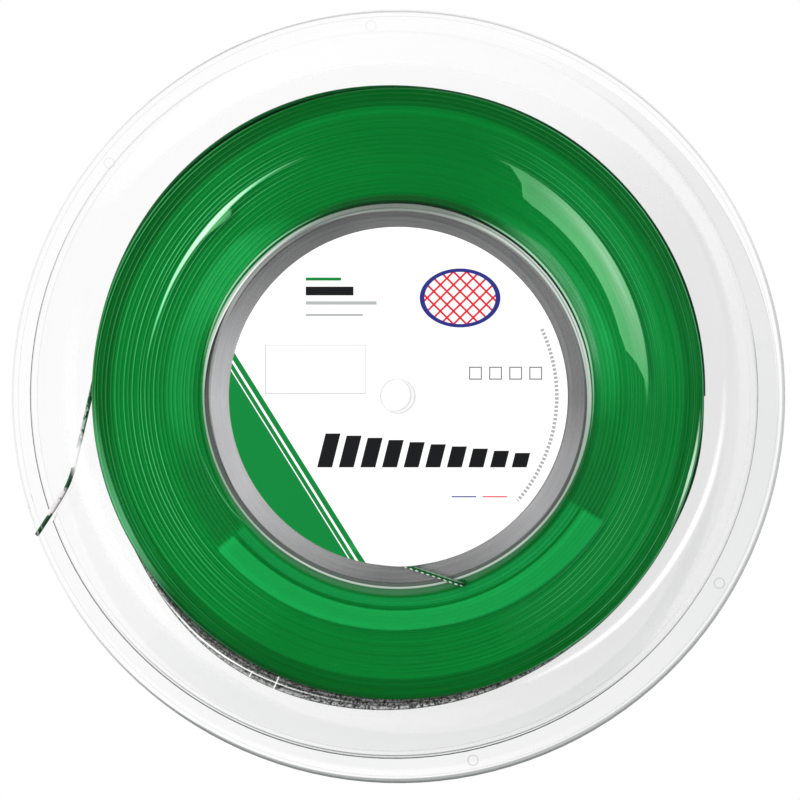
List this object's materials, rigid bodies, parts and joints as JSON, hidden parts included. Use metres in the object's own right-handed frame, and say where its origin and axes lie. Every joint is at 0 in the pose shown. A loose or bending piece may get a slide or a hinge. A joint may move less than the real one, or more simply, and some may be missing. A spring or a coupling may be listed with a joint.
{
  "type": "string reel",
  "caption": "Clear flanged reel full of green racket string, with a round paper label, a spindle hole and both string ends tucked in place.",
  "frame": {"origin": "centre of the rear rim's rest face, on the reel's axis", "axes": "+Z along the reel's axis towards the front flange and its label, +X to the right and +Y up as the label faces the viewer"},
  "size_m": [0.2, 0.2, 0.0302],
  "materials": {
    "clear_plastic": "clear, moulded, glossy",
    "label_paper": "coated paper",
    "string": "smooth nylon monofilament with a soft gloss"
  },
  "bodies": {
    "root": {"front_flange": "clear_plastic", "rear_flange": "clear_plastic", "hub_core": "clear_plastic", "label": "label_paper", "string_core": "string", "string_turns": "string", "string_inner_end": "string", "string_outer_end": "string"}
  },
  "joints": []
}
